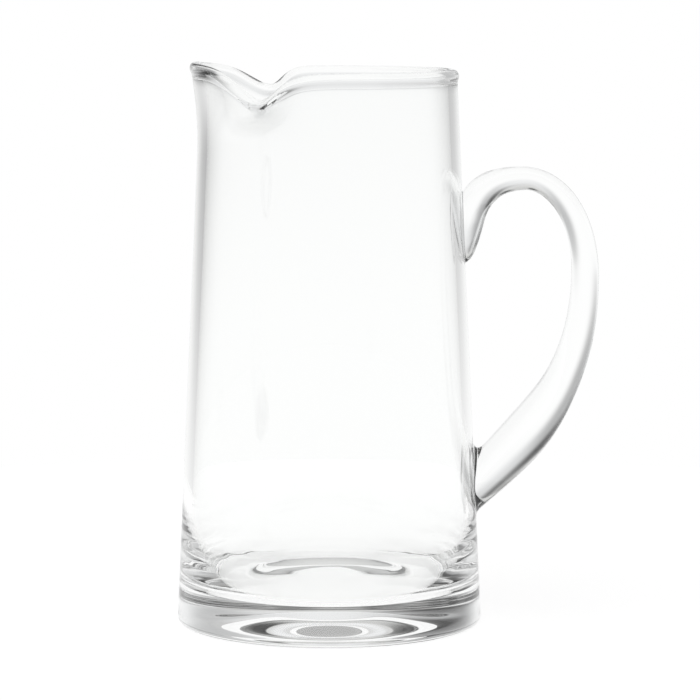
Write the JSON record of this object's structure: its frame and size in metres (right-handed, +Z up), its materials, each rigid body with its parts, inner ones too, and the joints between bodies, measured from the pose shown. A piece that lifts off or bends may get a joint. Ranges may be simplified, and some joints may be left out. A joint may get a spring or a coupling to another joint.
{
  "type": "glass pitcher",
  "caption": "Tall tapered clear glass pitcher with a heavy base, a pinched pouring lip and an applied loop handle.",
  "frame": {"origin": "middle of the foot, on the table that the pitcher stands on", "axes": "+Z up along the body's axis, +X from the axis to the handle, so the lip pours toward -X"},
  "size_m": [0.1826, 0.132, 0.2432],
  "materials": {
    "clear_glass": "clear blown glass, fire polished, with a faint grey-green tint where it is thick"
  },
  "bodies": {
    "root": {"body": "clear_glass", "handle": "clear_glass"}
  },
  "joints": []
}
